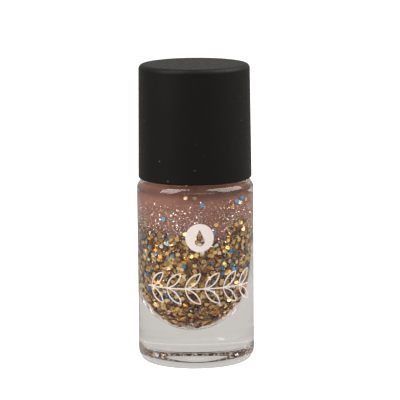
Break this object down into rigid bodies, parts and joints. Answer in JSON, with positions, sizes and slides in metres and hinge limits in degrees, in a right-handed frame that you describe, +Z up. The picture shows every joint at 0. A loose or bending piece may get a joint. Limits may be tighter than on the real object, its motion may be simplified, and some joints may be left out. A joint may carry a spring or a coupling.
{
  "type": "nail polish bottle",
  "caption": "Round thick-based glass nail polish bottle with a straight matt screw cap, a brush fixed in the cap, and lacquer full of hexagonal glitter.",
  "frame": {"origin": "centre of the base, on the surface that the bottle stands on", "axes": "+Z up along the bottle's axis to the cap; -Y is the printed front, +X the right-hand side seen from the front"},
  "size_m": [0.027, 0.027, 0.069],
  "materials": {
    "clear_glass": "polished flint glass",
    "lacquer": "translucent mauve-pink lacquer",
    "glitter": "metallic gold and blue flakes in lacquer",
    "print": "fired white screen-print ink",
    "soft_touch_black": "matt soft-touch black",
    "natural_plastic": "natural polypropylene",
    "stem_plastic": "smooth black polyethylene",
    "foam": "white closed-cell foam",
    "film": "solvent-proof white film",
    "bristle": "black nylon filament",
    "steel": "bright stainless steel"
  },
  "bodies": {
    "bottle": {"glass_bottle": "clear_glass", "lacquer": "lacquer", "glitter_bed": "glitter", "mixing_ball_1": "steel", "mixing_ball_2": "steel", "front_medallion": "print", "front_sprig": "print"},
    "seal_face": {"seal_facing": "film"},
    "seal_back": {"seal_pad": "foam"},
    "closure": {"overcap": "soft_touch_black", "inner_cap": "natural_plastic", "brush_stem": "stem_plastic", "bristle_staple": "steel", "brush_bristles": "bristle"}
  },
  "joints": [
    {"name": "lift_off", "type": "slide", "parent": "bottle", "child": "seal_face", "axis": [0, 0, 1], "range_m": [0, 0.052]},
    {"name": "thread_rise", "type": "slide", "parent": "seal_face", "child": "seal_back", "axis": [0, 0, 1], "range_m": [0, 0.0032]},
    {"name": "cap_turn", "type": "hinge", "parent": "seal_back", "child": "closure", "pos_m": [0, 0, 0.048], "axis": [0, 0, 1], "range_deg": [0, 540]}
  ],
  "couplings": [
    {"joint": "thread_rise", "follows": "cap_turn", "m_per_rad": 0.00033423}
  ]
}
